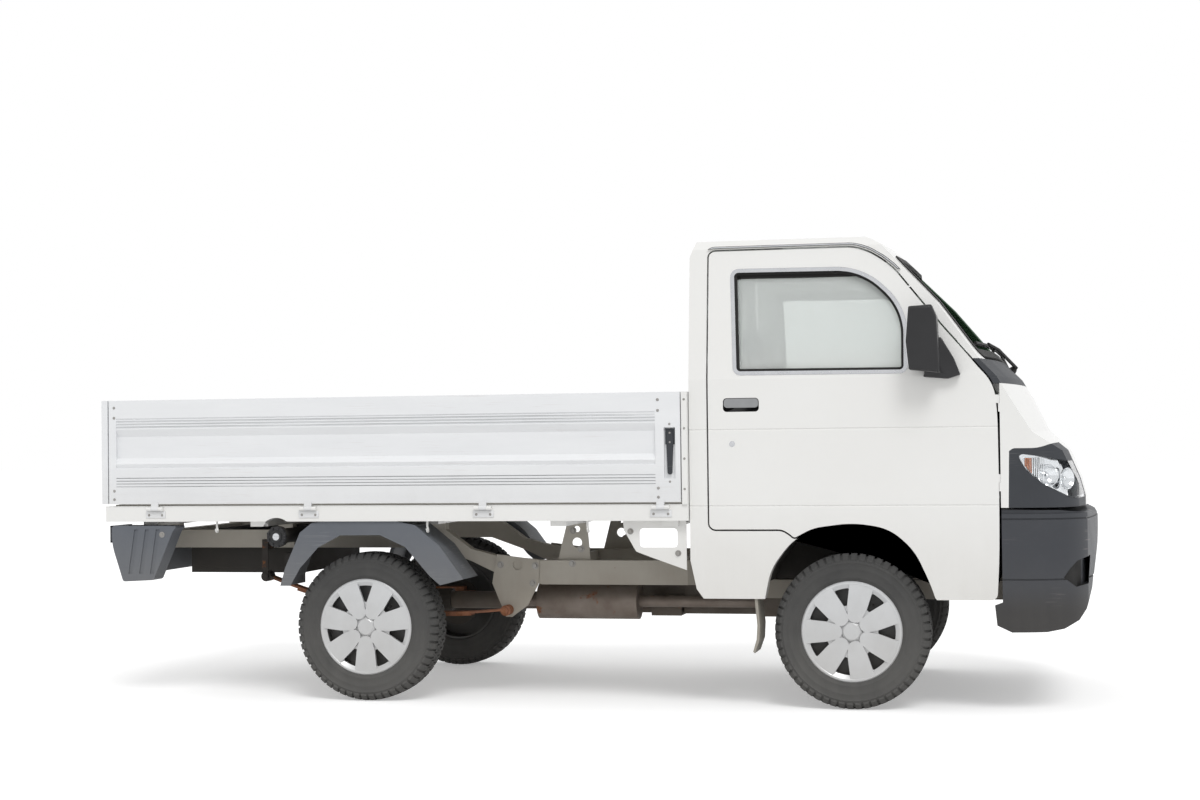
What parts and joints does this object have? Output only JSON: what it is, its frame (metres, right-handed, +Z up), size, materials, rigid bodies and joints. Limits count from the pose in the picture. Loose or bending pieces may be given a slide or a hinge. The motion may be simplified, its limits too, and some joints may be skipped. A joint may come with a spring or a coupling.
{
  "type": "mini truck",
  "caption": "Cab-over mini pickup truck with hinged doors, a flat bed with fold-down aluminium sides and tailgate, steering front wheels and rolling rear wheels.",
  "frame": {"origin": "on the ground, below the middle of the truck's length and width", "axes": "+X to the truck's front, +Y to its left, +Z up"},
  "size_m": [3.766, 1.635, 1.728],
  "materials": {
    "paint_white": "gloss",
    "bed_aluminium": "satin anodised",
    "chassis_paint": "satin, dusty",
    "underbody_black": "satin",
    "spring_rust": "rusted",
    "dark_plastic": "matte",
    "mirror_black": "gloss",
    "bumper_grey": "grained",
    "guard_grey": "grained",
    "tyre": "matte",
    "rim_steel": "satin",
    "cover_silver": "silver",
    "glass": "clear",
    "lamp_lens": "clear",
    "lamp_red": "translucent red",
    "seat_fabric": "woven",
    "interior_grey": "matte",
    "engine_iron": "cast",
    "exhaust_steel": "heat-dulled"
  },
  "bodies": {
    "chassis": {"bed_floor": "chassis_paint", "bed_frame": "paint_white", "cab_floor": "underbody_black", "cab_glass": "glass", "cab_rear_wall": "paint_white", "cab_roof": "paint_white", "cab_sides": "paint_white", "cowl": "dark_plastic", "dashboard": "interior_grey", "drivetrain": "engine_iron", "exhaust": "exhaust_steel", "frame": "chassis_paint", "front_bumper": "bumper_grey", "front_panel": "paint_white", "front_subframe": "underbody_black", "fuel_tank": "underbody_black", "headboard": "paint_white", "headlamps": "lamp_lens", "lamp_surrounds": "dark_plastic", "leaf_springs": "spring_rust", "mudguards": "guard_grey", "rear_axle": "underbody_black", "rear_bumper": "guard_grey", "rear_lamps": "lamp_red", "seats": "seat_fabric"},
    "knuckle_left": {"knuckle_left": "underbody_black"},
    "door_left": {"door_left": "paint_white", "door_glass_left": "glass", "door_handle_left": "dark_plastic", "mirror_left": "mirror_black"},
    "dropside_left": {"dropside_left": "bed_aluminium", "latch_left": "dark_plastic"},
    "wheel_front_left": {"tyre_front_left": "tyre", "rim_front_left": "rim_steel", "cover_front_left": "cover_silver"},
    "wheel_rear_left": {"tyre_rear_left": "tyre", "rim_rear_left": "rim_steel", "cover_rear_left": "cover_silver"},
    "knuckle_right": {"knuckle_right": "underbody_black"},
    "door_right": {"door_right": "paint_white", "door_glass_right": "glass", "door_handle_right": "dark_plastic", "mirror_right": "mirror_black"},
    "dropside_right": {"dropside_right": "bed_aluminium", "latch_right": "dark_plastic"},
    "wheel_front_right": {"tyre_front_right": "tyre", "rim_front_right": "rim_steel", "cover_front_right": "cover_silver"},
    "wheel_rear_right": {"tyre_rear_right": "tyre", "rim_rear_right": "rim_steel", "cover_rear_right": "cover_silver"},
    "tailgate": {"tailgate": "bed_aluminium"},
    "steering_wheel": {"steering_wheel": "dark_plastic"}
  },
  "joints": [
    {"name": "steer_left", "type": "hinge", "parent": "chassis", "child": "knuckle_left", "pos_m": [1.009, 0.5406, 0.28], "axis": [0, -0.2093, 0.9779], "range_deg": [-32, 32]},
    {"name": "wheel_front_left_spin", "type": "hinge", "parent": "knuckle_left", "child": "wheel_front_left", "pos_m": [1.009, 0.6, 0.28], "axis": [0, 1, 0], "continuous": true},
    {"name": "wheel_rear_left_spin", "type": "hinge", "parent": "chassis", "child": "wheel_rear_left", "pos_m": [-0.821, 0.6, 0.28], "axis": [0, 1, 0], "continuous": true},
    {"name": "door_left_swing", "type": "hinge", "parent": "chassis", "child": "door_left", "pos_m": [1.537, 0.6965, 0.92], "axis": [0, 0, -1], "range_deg": [0, 65]},
    {"name": "dropside_left_fold", "type": "hinge", "parent": "chassis", "child": "dropside_left", "pos_m": [-0.591, 0.733, 0.729], "axis": [-1, 0, 0], "range_deg": [0, 170]},
    {"name": "steer_right", "type": "hinge", "parent": "chassis", "child": "knuckle_right", "pos_m": [1.009, -0.5406, 0.28], "axis": [0, 0.2093, 0.9779], "range_deg": [-32, 32]},
    {"name": "wheel_front_right_spin", "type": "hinge", "parent": "knuckle_right", "child": "wheel_front_right", "pos_m": [1.009, -0.6, 0.28], "axis": [0, 1, 0], "continuous": true},
    {"name": "wheel_rear_right_spin", "type": "hinge", "parent": "chassis", "child": "wheel_rear_right", "pos_m": [-0.821, -0.6, 0.28], "axis": [0, 1, 0], "continuous": true},
    {"name": "door_right_swing", "type": "hinge", "parent": "chassis", "child": "door_right", "pos_m": [1.537, -0.6965, 0.92], "axis": [0, 0, 1], "range_deg": [0, 65]},
    {"name": "dropside_right_fold", "type": "hinge", "parent": "chassis", "child": "dropside_right", "pos_m": [-0.591, -0.733, 0.729], "axis": [1, 0, 0], "range_deg": [0, 170]},
    {"name": "tailgate_fold", "type": "hinge", "parent": "chassis", "child": "tailgate", "pos_m": [-1.875, 0, 0.729], "axis": [0, -1, 0], "range_deg": [0, 170]},
    {"name": "steering_wheel_turn", "type": "hinge", "parent": "chassis", "child": "steering_wheel", "pos_m": [1.189, 0.33, 1.13], "axis": [0.6606, 0, -0.7507], "range_deg": [-448, 448]}
  ],
  "couplings": [
    {"joint": "steer_right", "follows": "steer_left", "ratio": 1},
    {"joint": "steering_wheel_turn", "follows": "steer_left", "ratio": -14}
  ]
}
